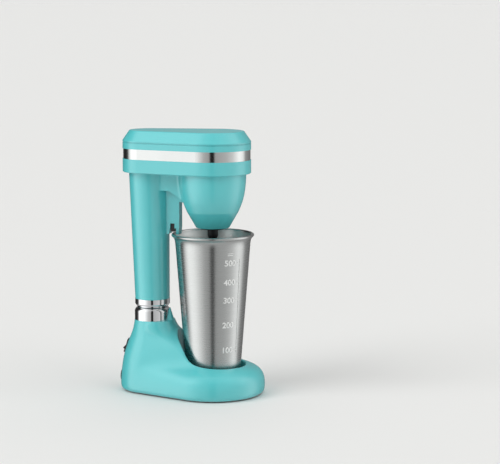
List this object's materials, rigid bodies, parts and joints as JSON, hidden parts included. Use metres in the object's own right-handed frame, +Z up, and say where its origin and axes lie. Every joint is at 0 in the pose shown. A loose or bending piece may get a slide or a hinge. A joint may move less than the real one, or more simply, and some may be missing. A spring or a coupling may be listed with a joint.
{
  "type": "milkshake mixer",
  "caption": "Countertop drink mixer: motor head that slides up a post, spinning agitator, steel cup standing in a boot-shaped base, hook with a cup switch.",
  "frame": {"origin": "middle of the object's footprint, on the table under the feet", "axes": "+Z up; -Y the front, where the cup stands; +X the left-hand side of the mixer as it faces forward, where the release key is"},
  "size_m": [0.1186, 0.1696, 0.3],
  "materials": {
    "teal_plastic": "satin moulded",
    "black_plastic": "satin moulded",
    "white_plastic": "natural acetal",
    "rubber": "matte",
    "chrome": "polished",
    "brushed_steel": "brushed",
    "steel": "zinc plated",
    "copper": "enamelled wire",
    "bronze": "sintered",
    "carbon": "pressed carbon"
  },
  "bodies": {
    "base": {"base_shell": "teal_plastic", "base_bottom_plate": "black_plastic", "base_ballast": "steel", "rubber_feet": "rubber", "bottom_screws": "steel", "cup_seat_pad": "rubber", "base_collar": "chrome", "inner_post": "teal_plastic", "post_flange": "steel", "post_screws": "steel", "post_top_guide": "white_plastic", "catch_spring": "steel", "switch_bezel": "black_plastic", "cord_gland": "rubber", "terminal_block": "black_plastic", "coiled_lead": "rubber"},
    "power_switch": {"power_rocker": "black_plastic"},
    "catch": {"catch_button": "teal_plastic"},
    "head": {"head_housing": "teal_plastic", "head_band": "brushed_steel", "head_top_cover": "teal_plastic", "cover_screws": "steel", "sleeve_ring": "chrome", "sleeve_bush": "white_plastic", "motor_stator": "steel", "field_coils": "copper", "brush_holders": "black_plastic", "carbon_brushes": "carbon", "brush_springs": "steel", "motor_bracket": "black_plastic", "motor_screws": "steel", "upper_bearing": "steel", "lower_bearing": "bronze", "shaft_seal": "rubber", "microswitch": "black_plastic"},
    "agitator": {"motor_shaft": "steel", "armature_core": "steel", "armature_windings": "copper", "commutator": "copper", "cooling_fan": "black_plastic", "drive_coupler": "black_plastic", "agitator_rod": "brushed_steel", "agitator_disc": "brushed_steel"},
    "key": {"release_key": "black_plastic"},
    "plunger": {"switch_plunger": "black_plastic"},
    "cup": {"cup": "brushed_steel"}
  },
  "joints": [
    {"name": "head_lift", "type": "slide", "parent": "base", "child": "head", "axis": [0, 0, 1], "range_m": [0, 0.128], "deforming": ["coiled_lead"]},
    {"name": "agitator_spin", "type": "hinge", "parent": "head", "child": "agitator", "pos_m": [0, -0.0255, 0], "axis": [0, 0, 1], "continuous": true},
    {"name": "power_switch", "type": "hinge", "parent": "base", "child": "power_switch", "pos_m": [0, 0.07656, 0.04966], "axis": [-1, 0, 0], "range_deg": [0, 18]},
    {"name": "catch_press", "type": "slide", "parent": "base", "child": "catch", "axis": [-1, 0, 0], "range_m": [0, 0.0013], "stiffness_N_per_m": 500, "springref_m": -0.002},
    {"name": "key_press", "type": "slide", "parent": "head", "child": "key", "axis": [-1, 0, 0], "range_m": [0, 0.0012], "stiffness_N_per_m": 400, "springref_m": -0.002},
    {"name": "cup_lift", "type": "slide", "parent": "base", "child": "cup", "axis": [0, 0, 1], "range_m": [0, 0.0025]},
    {"name": "plunger_press", "type": "slide", "parent": "head", "child": "plunger", "axis": [0, 0, 1], "range_m": [0, 0.0025], "stiffness_N_per_m": 150, "springref_m": -0.002}
  ],
  "couplings": [
    {"joint": "plunger_press", "follows": "cup_lift", "ratio": 1}
  ]
}
